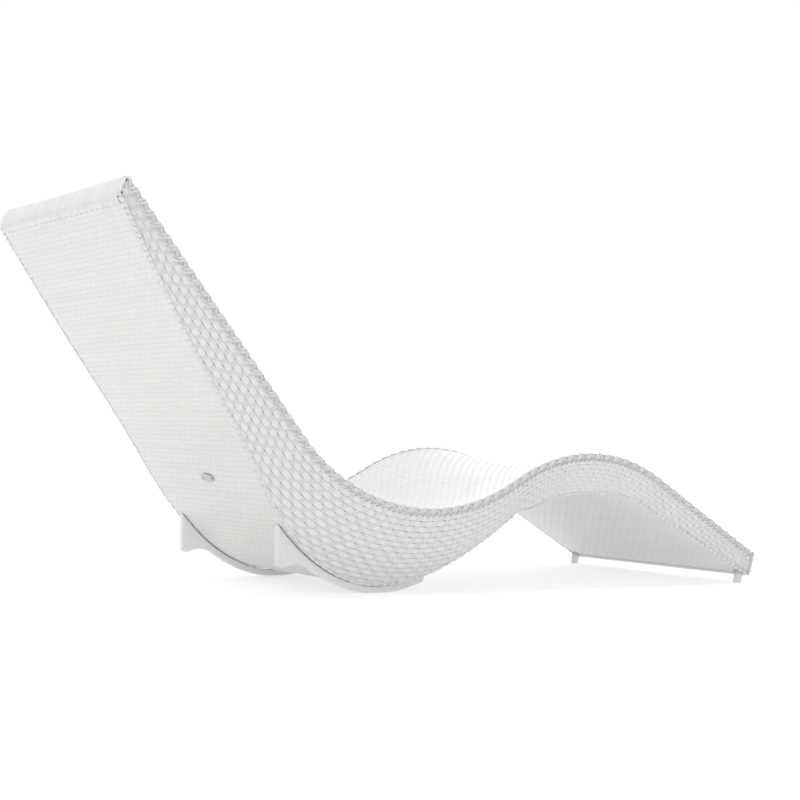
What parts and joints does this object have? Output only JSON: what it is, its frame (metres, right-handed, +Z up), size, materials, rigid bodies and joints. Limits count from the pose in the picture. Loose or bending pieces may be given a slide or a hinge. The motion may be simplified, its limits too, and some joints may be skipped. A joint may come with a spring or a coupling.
{
  "type": "spa relaxation lounger",
  "caption": "Low S-shaped lounger: a hollow woven body with a raised back and a knee bend, standing on curved skids under the seat and small glides at the foot.",
  "frame": {"origin": "on the floor, below the middle of the lounger's length and width", "axes": "+X from the head end to the foot end, +Y across the body, +Z up from the floor"},
  "size_m": [1.8608, 0.75, 0.9209],
  "materials": {
    "frame_tube": "satin, hidden inside the body",
    "frame_rod": "satin, hidden inside the body",
    "fastener": "brushed",
    "lying_weave": "flat woven strands, slight sheen",
    "underside_weave": "flat woven strands, slight sheen",
    "side_weave": "flat woven strands, slight sheen",
    "bound_edge": "strands wrapped and braided over the edge",
    "skid": "smooth, soft gloss",
    "glide": "smooth, soft gloss",
    "badge": "satin, blank"
  },
  "bodies": {
    "root": {"rail_left": "frame_tube", "rail_right": "frame_tube", "head_tube": "frame_tube", "foot_tube": "frame_tube", "upper_back_rib": "frame_tube", "middle_back_rib": "frame_tube", "lower_back_rib": "frame_tube", "seat_rib": "frame_tube", "thigh_rib": "frame_tube", "knee_rib": "frame_tube", "leg_rib": "frame_tube", "lower_rod_left": "frame_rod", "lower_rod_right": "frame_rod", "upper_back_bar": "frame_rod", "lumbar_bar": "frame_rod", "skid_bar_rear": "frame_rod", "skid_bar_middle": "frame_rod", "skid_bar_front": "frame_rod", "thigh_bar": "frame_rod", "knee_bar": "frame_rod", "leg_bar": "frame_rod", "struts_left": "frame_rod", "struts_right": "frame_rod", "skid_tabs_left": "frame_rod", "skid_tabs_right": "frame_rod", "skid_screws_left": "fastener", "skid_screws_right": "fastener", "glide_socket_left": "frame_rod", "glide_socket_right": "frame_rod", "lying_weave": "lying_weave", "underside_weave": "underside_weave", "side_weave_left": "side_weave", "side_weave_right": "side_weave", "head_band": "bound_edge", "foot_band": "bound_edge", "rope_edge_left": "bound_edge", "rope_edge_right": "bound_edge", "lower_binding_left": "bound_edge", "lower_binding_right": "bound_edge", "skid_left": "skid", "skid_right": "skid", "foot_glide_left": "glide", "foot_glide_right": "glide", "badge_plate": "badge", "badge_rivets": "fastener"}
  },
  "joints": []
}
